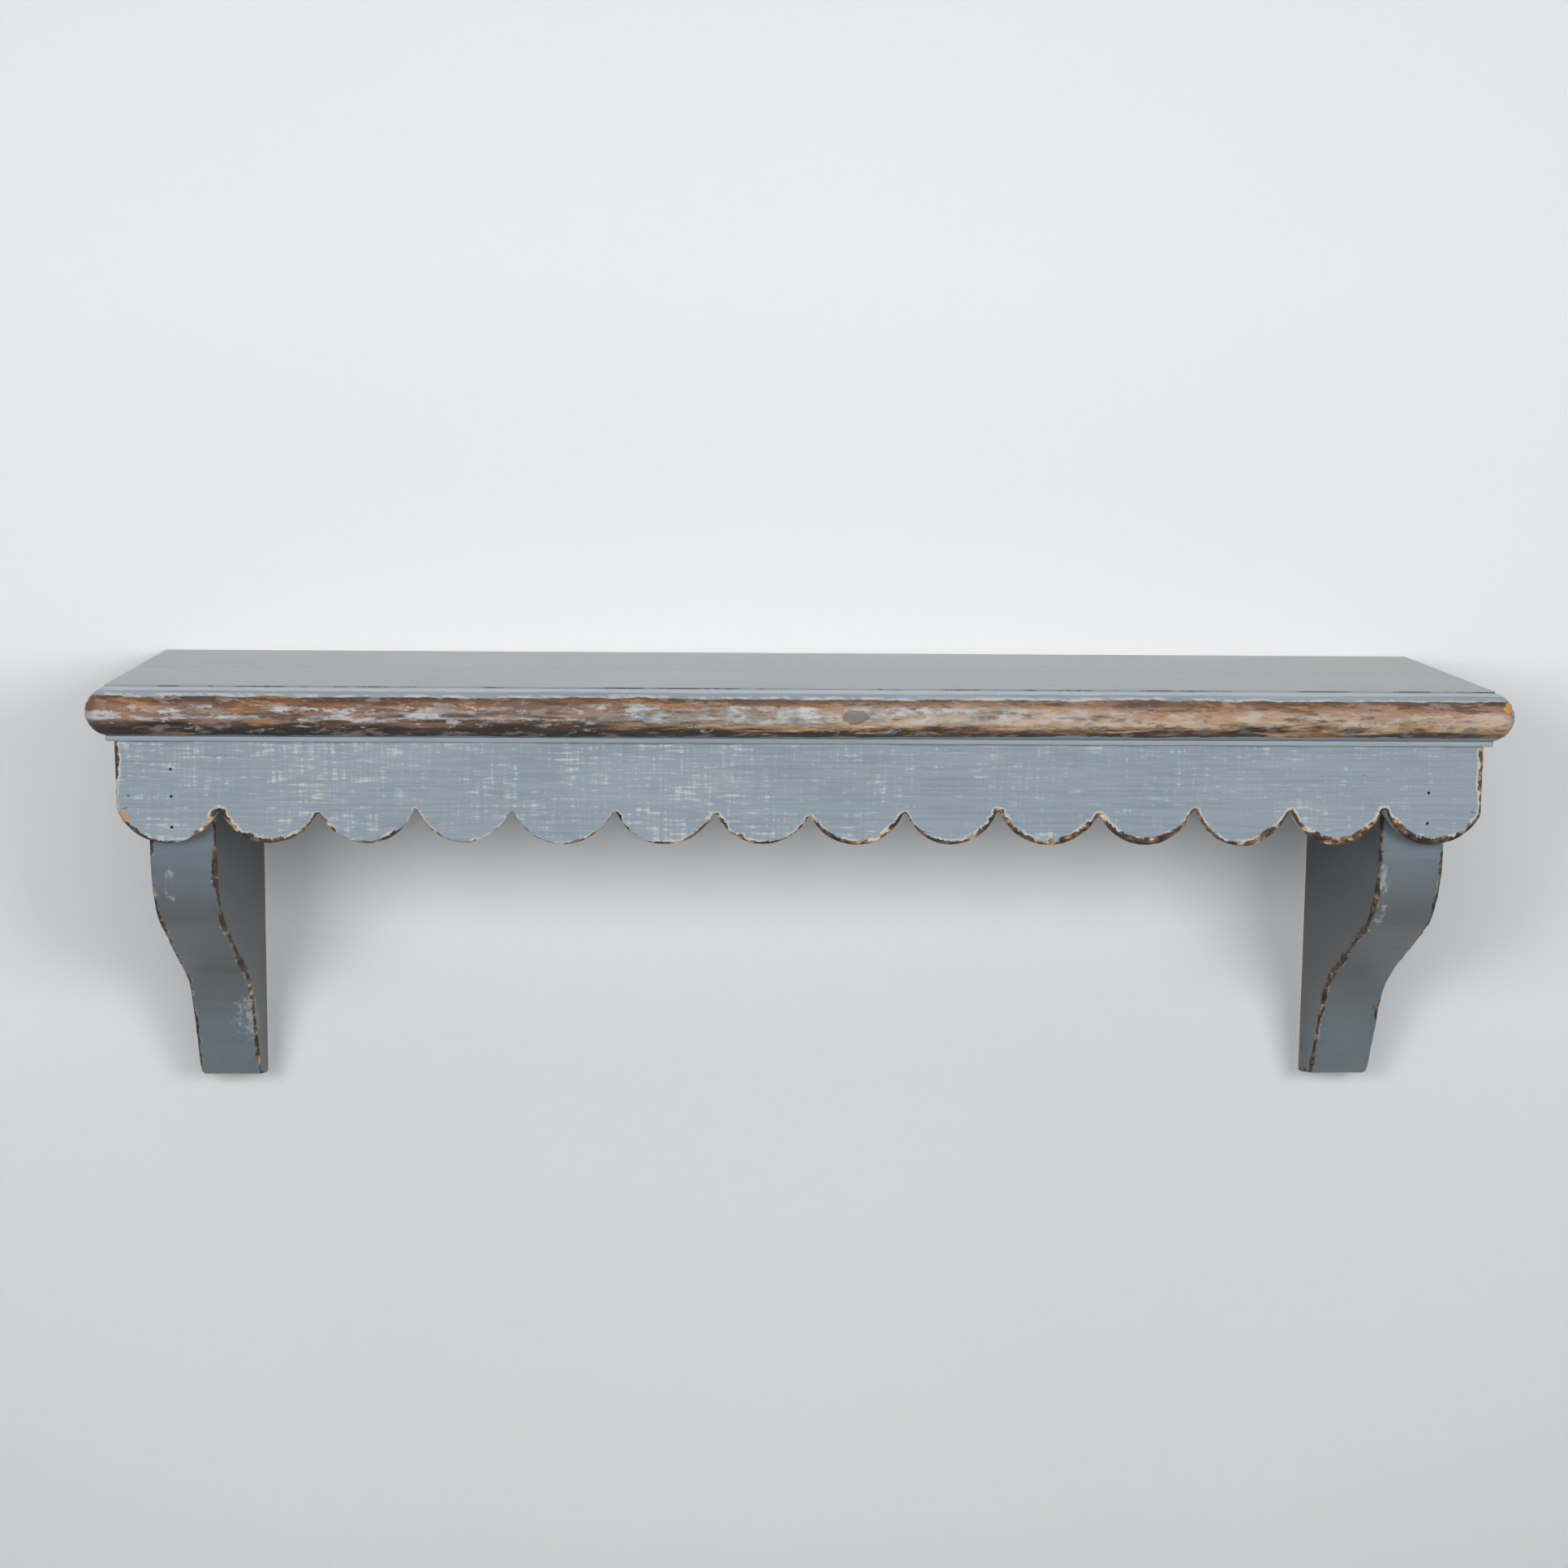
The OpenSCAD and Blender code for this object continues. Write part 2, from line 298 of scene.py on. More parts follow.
def sideways(path):
    """Unit vectors square to a path, on its left as it runs."""
    ahead = np.gradient(path, axis=0)
    ahead /= np.linalg.norm(ahead, axis=1)[:, None]
    return np.stack([-ahead[:, 1], ahead[:, 0]], axis=1)


def room_inside(path, inward, most):
    """How far each point of an outline can move inwards before it meets another part of it."""
    room = np.full(len(path), 0.3)
    for depth in np.linspace(0.6, most, 9):
        moved = path + inward * depth
        gap = np.linalg.norm(moved[:, None] - path[None], axis=2).min(axis=1)
        room = np.where((gap >= 0.93 * depth) & (room >= depth - most / 7), depth, room)
    return room


def sawn_rings(path, inward, thickness, worn_near, worn_far, place):
    """Rings for a board sawn to an outline, from one face over both arrises to the other.

    worn_near and worn_far say how far each arris is rubbed round at each point."""
    deepest = 6.5
    room = room_inside(path, inward, deepest)
    worn_near = np.minimum(worn_near, room * 0.8)
    worn_far = np.minimum(worn_far, room * 0.8)
    rings = []

    def add(inset, depth):
        rings.append(place(path + inward * inset[:, None], depth))

    def face(worn, depth, shares):
        for share in shares:
            add(worn + (room - worn) * share, depth)

    def arris(worn, far_side, angles):
        for angle in np.radians(angles):
            inset = worn * (1 - math.sin(angle))
            down = worn * (1 - math.cos(angle))
            add(inset, thickness - down if far_side else down)

    flat = np.zeros(len(path))
    face(worn_near, flat, (1, 0.55, 0.25, 0.08))
    arris(worn_near, False, (0, 20, 40, 58, 74, 90))
    for share in (0.25, 0.5, 0.75):
        rough = ripple(np.arange(len(path)) / 3.0, share * 9, 71) * 0.3
        add(rough, worn_near + (thickness - worn_near - worn_far) * share)
    arris(worn_far, True, (90, 60, 30, 0))
    face(worn_far, flat + thickness, (0.15, 1))
    return rings


def wear_mark(piece, path, thickness, place, near_width, far_width):
    """Marks each vertex with its distance from the nearest arris over the wear's width there."""
    flat = np.zeros(len(path))
    arrises = np.concatenate([place(path, flat), place(path, flat + thickness)])
    widths = np.concatenate([near_width, far_width])
    points = points_of(piece)
    worn = np.empty(len(points))
    batch = 2000
    for start in range(0, len(points), batch):
        block = points[start : start + batch]
        gap = np.linalg.norm(block[:, None] - arrises[None], axis=2)
        nearest, gap = gap.argmin(axis=1), gap.min(axis=1)
        worn[start : start + batch] = np.where(gap > WEAR_REACH, UNWORN, gap / widths[nearest])
    mark(piece, "worn", np.minimum(worn, UNWORN))


def apron_path():
    """The apron's sawn outline from its top left corner, down and round the scallops."""
    left, right = APRON_LOW[0], APRON_HIGH[0]
    bottom, top = APRON_LOW[2], APRON_HIGH[2]
    count = 14
    pitch = (right - left) / count
    # Where a hand-held saw strayed from the even spacing, sideways and in height, at each cusp
    # and at the foot of each lobe.
    strays = [2.3, 2.6, 1.7, -0.1, 2.8, 4.5, 2.8, 1.2, -0.9, 1.7, 0.6, 0.3, -1.1]
    rises = [-1.4, -2.7, 0.6, -0.2, -0.5, -1.4, -4.0, -1.0, 0.8, -2.6, 1.2, 0.9, 2.2]
    lows = [0.0, 0.3, 0.2, 0.8, 0.0, 0.3, 0.6, 0.0, 0.4, 0.3, 0.2, 0.0, 0.4, 0.6]
    # A cusp's sharp tip is overshot, because rounding it off over the trim lowers it again.
    cusp_z, overshoot, trim = -9.0, 1.7, 3.2
    cusps = [(left, cusp_z)]
    for index in range(1, count):
        stray, rise = strays[index - 1], rises[index - 1]
        cusps.append((left + pitch * index + stray, cusp_z + rise + overshoot))
    cusps.append((right, cusp_z))
    spread = math.radians(70)
    angle = np.linspace(-spread, spread, 84)
    share = (np.sin(angle) / math.sin(spread) + 1) / 2
    drop = (np.cos(angle) - math.cos(spread)) / (1 - math.cos(spread))
    end_steps = 34
    parts = [straight((left, top), (left, cusp_z), end_steps)]
    for index in range(count):
        (x0, z0), (x1, z1) = cusps[index], cusps[index + 1]
        level = z0 + (z1 - z0) * share
        depth = level - bottom - lows[index]
        lobe = np.stack([x0 + (x1 - x0) * share, level - depth * drop], axis=1)
        keep = np.ones(len(lobe), bool)
        if index > 0:
            keep &= np.hypot(*(lobe - cusps[index]).T) > trim
        if index < count - 1:
            keep &= np.hypot(*(lobe - cusps[index + 1]).T) > trim
        lobe = lobe[keep]
        if index > 0:
            before = parts[-1][-1]
            turn = np.linspace(0, 1, 11)[1:-1, None]
            tip = np.array(cusps[index])
            parts.append(before * (1 - turn) ** 2 + tip * 2 * turn * (1 - turn) + lobe[0] * turn**2)
        parts.append(lobe)
    parts.append(straight((right, cusp_z), (right, top), end_steps)[1:])
    parts.append(np.array([(right, top)]))
    return np.concatenate(parts)


def apron():
    """The scalloped apron, with a hole over each pin and two old nail holes."""
    path = apron_path()
    inward = sideways(path)
    inward[0], inward[-1] = (1, 0), (-1, 0)
    along = lengths_along(path)
    stray = ripple(along / 6, 0.5, 11) * 0.55 + ripple(along / 37, 2.5, 12) * 0.5
    stray[0] = stray[-1] = 0
    path = path + inward * stray[:, None]
    x = path[:, 0]
    hang = np.clip((-12 - path[:, 1]) / 14, 0, 1)
    base = np.interp(x, [-440, -300, -100, 90, 200, 440], [2.9, 2.3, 2.0, 2.3, 2.3, 2.3])
    base = base + hang * np.interp(x, [0, 150, 250, 440], [0, 1.8, 4.0, 4.2])
    chips = np.clip(ripple(along / 9, 3.5, 13) - 0.55, 0, 1) * 2.2
    tiny = ripple(along / 2.2, 4.5, 14)
    width = base * (0.35 + ripple(along / 26, 5.5, 15) * 0.9 + chips * 0.6)
    front = np.clip(width * (0.45 + tiny * 0.5), 0.5, 4.2)
    back = 0.4 + tiny * 0.6
    face_y, thickness = APRON_LOW[1], APRON_HIGH[1] - APRON_LOW[1]

    def place(flat, depth):
        return np.column_stack([flat[:, 0], face_y + depth, flat[:, 1]])

    rings = sawn_rings(path, inward, thickness, front, back, place)
    piece = skin("scalloped_apron_painted", rings)
    # Each hole is a centre, a radius and a depth.
    holes = [(pin, 1.05, 0.7) for pin in pin_centres("pins_left") + pin_centres("pins_right")]
    holes += [((-431.7, 0.4), 0.9, 1.6), ((362.0, 16.5), 0.7, 0.8)]
    for centre, radius, depth in holes:
        cut(piece, well(centre, radius, depth, face_y))
    smooth(piece.data)
    wear_mark(piece, path, thickness, place, width, back + 0.4)
    return piece


def pin_centres(node):
    """The x and z of each pin in a node, found from its separate heads."""
    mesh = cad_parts[node].data
    heights = sorted({round(vertex.co.z / MM, 1) for vertex in mesh.vertices})
    groups = [[heights[0]]]
    for height in heights[1:]:
        if height - groups[-1][-1] > 5:
            groups.append([])
        groups[-1].append(height)
    low, high = corners_of(node)
    middle = (low[0] + high[0]) / 2
    return [(middle, (group[0] + group[-1]) / 2) for group in groups]


def well(centre, radius, depth, face_y):
    """Rings for a round cutter that goes into the apron's face."""
    x, z = centre
    angle = np.radians(np.arange(0, 360, 20))
    circle = np.column_stack([x + radius * np.cos(angle), angle * 0, z + radius * np.sin(angle)])
    return [circle + (0, face_y - 2, 0), circle + (0, face_y + depth, 0)]


def bracket_path():
    """A bracket's outline as (distance from the wall, height), from its top front corner."""
    depth = -BRACKET_LOW[1]

    def along(angle):
        return np.array([math.cos(angle), math.sin(angle)])

    def outward(angle):
        return np.array([math.sin(angle), -math.cos(angle)])

    swell = np.array([depth - SWELL_R, UNDER_Z - UPRIGHT_H])
    swell_end = swell + SWELL_R * outward(SLOPE_ANGLE)
    foot_z = UNDER_Z - FRONT_H
    run = (np.array([FOOT_D, foot_z]) - swell_end) @ outward(LEG_ANGLE)
    crossing = swell_end + run / (along(SLOPE_ANGLE) @ outward(LEG_ANGLE)) * along(SLOPE_ANGLE)
    half_turn = (LEG_ANGLE - SLOPE_ANGLE) / 2
    hollow = crossing + HOLLOW_R / math.cos(half_turn) * outward(SLOPE_ANGLE + half_turn)
    toe_half = (math.pi + FOOT_SLOPE - LEG_ANGLE) / 2
    toe = np.array([FOOT_D, foot_z]) + TOE_R / math.sin(toe_half) * along(LEG_ANGLE + toe_half)
    heel_half = (math.pi / 2 - FOOT_SLOPE) / 2
    corner = np.array([0.0, foot_z - FOOT_D * math.tan(FOOT_SLOPE)])
    heel = corner + HEEL_R / math.sin(heel_half) * along(FOOT_SLOPE + heel_half)

    def arc(centre, radius, start, end, step=1.3):
        angles = np.linspace(start, end, max(int(abs(end - start) * radius / step), 4))
        return centre + radius * np.stack([np.sin(angles), -np.cos(angles)], axis=1)

    def line(start, end, step=1.3):
        return straight(start, end, max(int(np.linalg.norm(np.subtract(end, start)) / step), 1))

    swell_arc = arc(swell, SWELL_R, math.radians(90), SLOPE_ANGLE)
    hollow_arc = arc(hollow, -HOLLOW_R, SLOPE_ANGLE, LEG_ANGLE)
    toe_arc = arc(toe, TOE_R, LEG_ANGLE, FOOT_SLOPE, 0.7)
    heel_arc = arc(heel, HEEL_R, FOOT_SLOPE, -math.pi / 2, 0.7)
    parts = [line((depth, UNDER_Z), swell_arc[0]), swell_arc[:-1], line(swell_arc[-1], hollow_arc[0])]
    parts += [hollow_arc[:-1], line(hollow_arc[-1], toe_arc[0]), toe_arc[:-1]]
    parts += [line(toe_arc[-1], heel_arc[0]), heel_arc[:-1]]
    parts += [line(heel_arc[-1], (0, UNDER_Z), 3), np.array([(0, UNDER_Z)])]
    return np.concatenate(parts)


def bracket(name, side, seed):
    """One S-curved bracket with the recess for its keyhole plate cut in its back."""
    path = bracket_path()
    inward = -sideways(path)
    inward[0], inward[-1] = (-1, 0), (1, 0)
    along = lengths_along(path)
    outside_wall = np.clip((path[:, 0] - 1) / 6, 0, 1)
    stray = ripple(along / 8, 0.5, seed) * 0.5 + ripple(along / 50, 2.5, seed + 1) * 0.8
    stray[0] = 0
    path = path + inward * (stray * outside_wall)[:, None]
    thickness = BRACKET_HIGH[0] - BRACKET_LOW[0]

    def wear(base, shift):
        chips = np.clip(ripple(along / 7, 3.5 + shift, seed + 2) - 0.5, 0, 1) * 2.0
        tiny = ripple(along / 2.3, 4.5 + shift, seed + 3)
        width = base * (0.3 + ripple(along / 30, 5.5 + shift, seed + 4) * 1.1 + chips)
        width = width * (0.25 + 0.75 * outside_wall)
        return width, np.clip(width * (0.5 + tiny * 0.6), 0.35, 3.0)

    inner_width, inner_worn = wear(2.5, 0)
    outer_width, outer_worn = wear(2.0, 7)
    # The bottom corners of the foot are rubbed rounder than the rest.
    from_toe = np.hypot(*(path - (FOOT_D, UNDER_Z - FRONT_H)).T)
    foot_worn = 3.4 * np.clip(1.3 - from_toe / 9, 0, 1)
    inner_worn, outer_worn = np.maximum(inner_worn, foot_worn), np.maximum(outer_worn, foot_worn)
    # How far the bracket has warped outwards by its front.
    warp = 2.6 if side == LEFT else 1.6

    def place(flat, depth):
        x = side * (BRACKET_LOW[0] + depth + warp * np.clip(flat[:, 0] / 200, 0, 1) ** 1.5)
        return np.column_stack([x, -flat[:, 0], flat[:, 1]])

    rings = sawn_rings(path, inward, thickness, inner_worn, outer_worn, place)
    piece = skin(name, rings)
    middle_x = side * (PLATE_LOW[0] + PLATE_HIGH[0]) / 2
    half_w = (PLATE_HIGH[0] - PLATE_LOW[0]) / 2
    low, high = PLATE_LOW[2] + half_w, PLATE_HIGH[2] - half_w
    plate_d = PLATE_HIGH[1] - PLATE_LOW[1]
    cut(piece, round_ended(middle_x, half_w + PLATE_ROOM, low, high, plate_d))
    cut(piece, round_ended(middle_x, POCKET_R, POCKET_LOW, POCKET_HIGH, POCKET_D))
    smooth(piece.data)
    wear_mark(piece, path, thickness, place, inner_width, outer_width)
    points = points_of(piece)
    flat = np.column_stack([-points[:, 1], points[:, 2]])
    from_inner = side * (points[:, 0] - place(flat, 0)[:, 0])
    mark(piece, "inside", np.clip(1 - from_inner / 1.5, 0, 1))
    return piece


def round_ended(x, radius, low, high, depth):
    """Rings for an upright cutter with round ends that goes into the wall side to a depth."""
    half = np.radians(np.arange(0, 181, 15))
    top = np.column_stack([x + radius * np.cos(half), half * 0, high + radius * np.sin(half)])
    bottom = np.column_stack([x - radius * np.cos(half), half * 0, low - radius * np.sin(half)])
    outline = np.concatenate([top, bottom])
    return [outline + (0, 3, 0), outline - (0, depth, 0)]


# ---- materials


def srgb(red, green, blue):
    """A linear colour from display values of 0 to 255."""
    def linear(value):
        value = value / 255
        return value / 12.92 if value <= 0.04045 else ((value + 0.055) / 1.055) ** 2.4

    return (linear(red), linear(green), linear(blue), 1.0)


class Nodes:
    """A node tree. Most methods add a node and return its output."""

    def __init__(self, tree):
        self.tree = tree

    def node(self, kind, inputs, **settings):
        """Adds a node and returns it."""
        made = self.tree.nodes.new("ShaderNode" + kind)
        for key, value in settings.items():
            setattr(made, key, value)
        self.feed(made, inputs)
        return made

    def feed(self, node, inputs):
        """Links or sets a node's inputs, each a socket's value or another node's output."""
        for key, value in inputs.items():
            if isinstance(value, bpy.types.NodeSocket):
                self.tree.links.new(value, node.inputs[key])
            else:
                node.inputs[key].default_value = value

    def math(self, operation, a, b=0.0, clamp=False):
        return self.node("Math", {0: a, 1: b}, operation=operation, use_clamp=clamp).outputs[0]

    def add(self, a, b):
        return self.math("ADD", a, b)

    def times(self, first, *others):
        """The product of two or more values."""
        for other in others:
            first = self.math("MULTIPLY", first, other)
        return first

    def swing(self, noise, amount):
        """A noise turned into a shift of at most half of amount either way."""
        return self.times(self.add(noise, -0.5), amount)

    def most(self, a, b):
        return self.math("MAXIMUM", a, b)

    def without(self, a):
        """1 minus a value."""
        return self.math("SUBTRACT", 1.0, a, clamp=True)

    def line(self, value, low, high, start=0.0, end=1.0, **settings):
        """Goes evenly from start to end while value goes from low to high."""
        inputs = {0: value, 1: low, 2: high, 3: start, 4: end}
        return self.node("MapRange", inputs, **settings).outputs[0]

    def step(self, *span):
        """The same as line, but gently at both ends."""
        return self.line(*span, interpolation_type="SMOOTHSTEP")

    def band(self, value, low, high, soft):
        """1 while value lies between low and high, with soft ends."""
        rise = self.step(value, low - soft, low + soft)
        return self.times(rise, self.step(value, high - soft, high + soft, 1.0, 0.0))

    def ramp(self, value, stops):
        """A colour or grey that changes with value. Each stop is (position, colour or grey)."""
        made = self.node("ValToRGB", {"Fac": value})
        points = made.color_ramp.elements
        while len(points) < len(stops):
            points.new(0.5)
        for point, (position, colour) in zip(points, stops):
            point.position = position
        for point, (position, colour) in zip(points, stops):
            point.color = colour if isinstance(colour, tuple) else (colour, colour, colour, 1)
        return made.outputs["Color"]

    def mix(self, share, a, b):
        """Colour a, or colour b where share is 1."""
        return self.node("Mix", {0: share, 6: a, 7: b}, data_type="RGBA").outputs[2]

    def over(self, colour, tint, *shares):
        """Lays a tint over a colour by the product of the shares."""
        return self.mix(self.times(*shares), colour, tint)

    def shade(self, colour, amount):
        """A colour made darker or lighter by a factor."""
        return self.node("VectorMath", {0: colour, "Scale": amount}, operation="SCALE").outputs[0]


class Finish(Nodes):
    """One material, whose noises follow its grain."""

    def __init__(self, name):
        self.material = bpy.data.materials.new(name)
        self.material.use_nodes = True
        super().__init__(self.material.node_tree)
        self.shader = self.tree.nodes["Principled BSDF"]
        self.place = self.node("TexCoord", {}).outputs["Object"]
        self.grain = self.place
        self.xyz = self.node("SeparateXYZ", {"Vector": self.place}).outputs

    def mark(self, name):
        """A number that a mesh's vertices were marked with."""
        return self.node("Attribute", {}, attribute_name=name).outputs["Fac"]

    def noise(self, stretch, seed, detail=3.0, rough=0.55):
        """Noise from 0 to 1, with stretch features to a metre on each axis of the grain.

        The seed only moves it, so that no two noises in a material lie on each other."""
        moved = self.node("VectorMath", {0: self.grain, 1: (seed, seed * 0.7, seed * 1.3)})
        scaled = self.node("VectorMath", {0: moved.outputs[0], 1: stretch}, operation="MULTIPLY")
        inputs = {"Vector": scaled.outputs[0], "Scale": 1.0, "Detail": detail, "Roughness": rough}
        return self.node("TexNoise", inputs).outputs["Fac"]

    def flecks(self, colour, tint, stretch, seed, low, high, share):
        """Lays a tint over a colour in flecks, where noise passes from low to high."""
        there = self.step(self.noise(stretch, seed, 4, 0.62), low, high)
        return self.over(colour, tint, there, share)

    def spot(self, centre, reach, rough, seed):
        """1 at a place given in millimetres, falling to 0 at a ragged edge, reach away."""
        middle = tuple(value * MM for value in centre)
        size = tuple(1 / (value * MM) for value in reach)
        off = self.node("VectorMath", {0: self.place, 1: middle}, operation="SUBTRACT")
        scaled = self.node("VectorMath", {0: off.outputs[0], 1: size}, operation="MULTIPLY")
        length = self.node("VectorMath", {0: scaled.outputs[0]}, operation="LENGTH")
        wobble = self.swing(self.noise((180, 180, 180), seed), 2 * rough)
        edge = self.add(length.outputs["Value"], wobble)
        return self.step(edge, 0.85, 1.15, 1.0, 0.0)

    def relief(self, height, depth, strength=1.0):
        """Raises the surface by height, where a height of 1 is depth in metres."""
        bump = self.node("Bump", {"Strength": strength, "Distance": depth, "Height": height})
        self.feed(self.shader, {"Normal": bump.outputs[0]})

    def finish(self, colour, roughness, **constants):
        """Sets the shader's inputs and returns the material."""
        self.feed(self.shader, {"Base Color": colour, "Roughness": roughness})
        self.feed(self.shader, {name.replace("_", " "): value for name, value in constants.items()})
        return self.material


PAINT = srgb(133, 147, 157)
PAINT_DEEP = srgb(112, 130, 142)
PAINT_PALE = srgb(160, 168, 174)
UNDERCOAT = srgb(205, 203, 198)


def stops(*rows):
    """Colours for a ramp, each row a position and a colour's display values."""
    return [(position, srgb(*colour)) for position, *colour in rows]


# Wood of a worn or sawn edge, from its darkest dirt to its freshest flecks.
EDGE_WOOD = stops(
    (0.0, 34, 30, 28), (0.3, 62, 51, 42), (0.5, 92, 73, 57),
    (0.66, 134, 104, 76), (0.82, 190, 158, 120), (1.0, 218, 204, 180),
)

# Rubbed wood of the nose from its bottom to its top, at its left and at its right.
NOSE_LEFT = stops(
    (0.08, 34, 33, 33), (0.18, 48, 40, 35), (0.28, 74, 56, 43),
    (0.38, 110, 86, 70), (0.5, 128, 101, 86), (0.62, 112, 82, 62),
    (0.7, 118, 76, 38), (0.78, 92, 59, 30), (0.86, 60, 43, 33),
)
NOSE_RIGHT = stops(
    (0.08, 62, 58, 58), (0.14, 62, 46, 36), (0.2, 88, 64, 46),
    (0.26, 176, 144, 110), (0.38, 192, 166, 136), (0.52, 156, 134, 114),
    (0.64, 152, 118, 92), (0.74, 128, 94, 66), (0.82, 92, 68, 50),
)


def raw_back(m, colour, stretch):
    """Leaves the faces against the wall as bare wood, from their last millimetre back."""
    grain = m.noise(stretch, 91.0, 5, 0.65)
    wood = m.mix(m.step(grain, 0.3, 0.7), srgb(184, 150, 116), srgb(138, 106, 80))
    return m.mix(m.step(m.xyz["Y"], -1.4 * MM, -0.5 * MM), colour, wood)


def nose_wood(m, level, x):
    """Rubbed wood of the nose: dirty and dark on the left, honey-coloured on the right.

    level runs from 0 at the bottom of the nose to 1 at its top."""
    bends = m.noise((14, 110, 110), 2.0, 4, 0.6)
    grain = m.noise((26, 230, 230), 1.0, 5, 0.65)
    zone = m.add(m.add(level, m.swing(bends, 0.55)), m.swing(grain, 0.5))
    across = m.step(m.add(x, m.swing(bends, 0.3)), -0.22, 0.1)
    wood = m.mix(across, m.ramp(zone, NOSE_LEFT), m.ramp(zone, NOSE_RIGHT))
    wood = m.shade(wood, m.add(-0.2, m.times(grain, 2.4)))
    wood = m.flecks(wood, srgb(174, 128, 80), (38, 190, 190), 3.0, 0.56, 0.64, 0.55)
    wood = m.flecks(wood, srgb(62, 47, 39), (30, 230, 230), 5.0, 0.55, 0.62, 0.65)
    wood = m.flecks(wood, srgb(152, 136, 130), (60, 230, 230), 6.0, 0.56, 0.64, 0.55)
    return m.flecks(wood, srgb(58, 44, 37), (70, 330, 330), 6.5, 0.58, 0.64, 0.6)


# A knot in the nose and a chip out of the board's right front corner, in millimetres.
KNOT = (30, -234, 55)
CORNER_CHIP = (451, -229, 62)


def board_paint():
    """Blue-grey paint, rubbed through to the wood all along the nose."""
    m = Finish("board_paint")
    x, y, z = m.xyz
    turn = m.mark("turn")
    bottom, top = (UNDER_Z + NOSE_FILLET) * MM, (TOP_Z - NOSE_STEP) * MM
    level = m.line(z, bottom, top)
    rightward = m.step(x, -0.06, 0.22)
    centre = m.band(x, -0.06, 0.16, 0.12)
    # The wood's texture runs along the front and along the ends.
    m.grain = m.node("CombineXYZ", {0: m.add(x, y), 1: m.times(y, 0.1), 2: z}).outputs[0]
    wood = nose_wood(m, level, x)

    # Paint left in the wood's pores along the middle of the nose: pale blobs on the left, a
    # dense speckle in the centre, broad pinkish and dark patches on the right.
    coarse = m.noise((22, 120, 120), 8.0, 3)
    drift = m.add(level, m.swing(coarse, 0.3))
    belt = m.band(drift, 0.36, 0.68, 0.05)
    tone = m.noise((90, 240, 240), 4.0, 4, 0.65)
    pale = m.mix(m.step(tone, 0.38, 0.6), srgb(128, 135, 138), srgb(186, 191, 193))
    blobs = m.step(m.noise((40, 160, 160), 7.0, 5, 0.68), 0.52, 0.57)
    few = m.step(m.noise((85, 230, 230), 9.0, 4, 0.68), 0.59, 0.63)
    thread = m.step(m.noise((28, 60, 60), 9.5, 4, 0.7), 0.42, 0.5)
    thread = m.times(thread, m.band(drift, 0.4, 0.46, 0.02))
    leftward = m.without(rightward)
    left_over = m.most(m.times(blobs, belt), m.times(thread, 0.8))
    wood = m.over(wood, pale, left_over, leftward, 0.8)
    wood = m.over(wood, pale, few, m.band(drift, 0.06, 0.68, 0.06), leftward, 0.6)
    speckle = m.step(m.noise((80, 250, 250), 10.0, 4, 0.68), 0.46, 0.53)
    wood = m.over(wood, pale, speckle, belt, centre, 0.8)
    patches = m.step(m.noise((46, 170, 170), 11.0, 5, 0.68), 0.5, 0.58)
    low_belt = m.band(drift, 0.3, 0.62, 0.06)
    wood = m.over(wood, srgb(186, 176, 168), patches, low_belt, rightward, 0.6)
    blotches = m.step(m.noise((80, 210, 210), 13.0, 4, 0.68), 0.52, 0.58)
    lowest = m.band(drift, 0.18, 0.4, 0.04)
    wood = m.over(wood, srgb(104, 102, 98), blotches, lowest, rightward, 0.75)

    # A greyish knot with a dark rim.
    wood = m.over(wood, srgb(86, 72, 68), m.spot(KNOT, (9, 9, 4.6), 0.6, 5.0), 0.7)
    wood = m.over(wood, srgb(128, 116, 118), m.spot(KNOT, (6, 9, 2.8), 0.5, 5.0), 0.65)

    # Where the paint begins again above and below the rubbed band, and round the corners.
    ragged = m.add(m.times(m.noise((60, 300, 300), 19.0, 4, 0.65), 0.22), m.times(coarse, 0.24))
    upper = m.step(m.add(turn, ragged), 0.76, 0.8)
    lower_at = m.line(rightward, 0.0, 1.0, -0.9, -0.7)
    lower = m.step(m.math("SUBTRACT", lower_at, m.add(turn, m.add(ragged, -0.23))), 0.0, 0.04)
    rounding = m.mark("rounding")
    rim_at = m.step(x, -0.3, 0.3, 0.66, 0.44)
    torn = m.swing(m.noise((90, 110, 180), 12.0, 4, 0.65), 0.7)
    rim = m.step(m.math("SUBTRACT", m.add(rounding, torn), rim_at), 0.0, 0.05)
    bald = m.step(m.noise((26, 150, 150), 12.5, 4, 0.65), 0.5, 0.54)
    rim = m.times(rim, m.without(m.times(bald, m.band(turn, -0.5, 0.45, 0.15))))
    cover = m.most(m.most(upper, lower), rim)
    corner_chip = m.spot(CORNER_CHIP, (4, 6, 3.4), 1.2, 6.0)
    cover = m.times(cover, m.without(corner_chip))
    m.grain = m.place

    streaks = m.noise((7, 300, 300), 14.0, 4, 0.6)
    clouds = m.noise((6, 9, 9), 15.0, 2)
    paint = m.mix(m.step(streaks, 0.3, 0.7), PAINT_DEEP, PAINT)
    paint = m.over(paint, PAINT_PALE, m.step(clouds, 0.35, 0.7), 0.4)
    # Painted highlight: the top of the nose, which faces up into the light, is painted a paler lavender
    # grey.
    shoulder_highlight = m.band(turn, 0.8, 1.02, 0.04)
    paint = m.over(paint, srgb(176, 180, 185), shoulder_highlight, 0.9)
